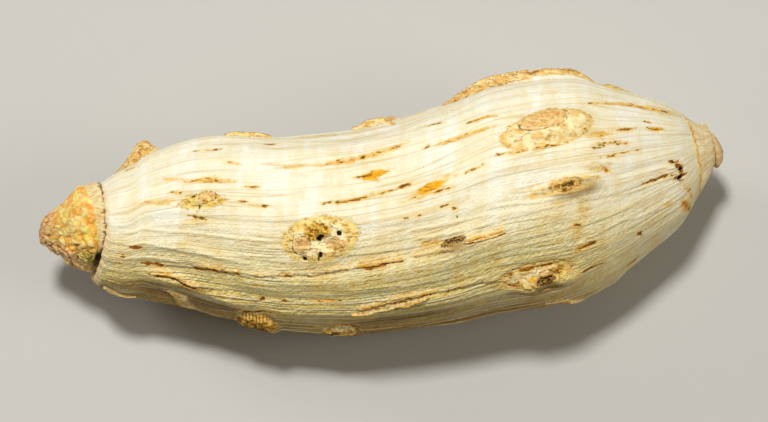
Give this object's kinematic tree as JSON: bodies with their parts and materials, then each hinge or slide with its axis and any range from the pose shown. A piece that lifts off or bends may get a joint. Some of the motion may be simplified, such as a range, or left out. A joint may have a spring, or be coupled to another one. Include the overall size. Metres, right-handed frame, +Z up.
{
  "type": "dried typhonium tuber",
  "caption": "Dried, slender, gently bent tuber with a broken starchy tip at one end and a small bud at the other, lying on its side.",
  "frame": {"origin": "centre of the tuber's box at the level it rests on", "axes": "+X along the tuber from the broken tip to the bud, +Y across it towards the side it bulges to near the bud, +Z up"},
  "size_m": [0.05, 0.0196, 0.0151],
  "materials": {
    "dried_skin": "matt, pale straw, finely fibrous dried skin with brown streaks and tan root scars"
  },
  "bodies": {
    "root": {"tuber": "dried_skin"}
  },
  "joints": []
}
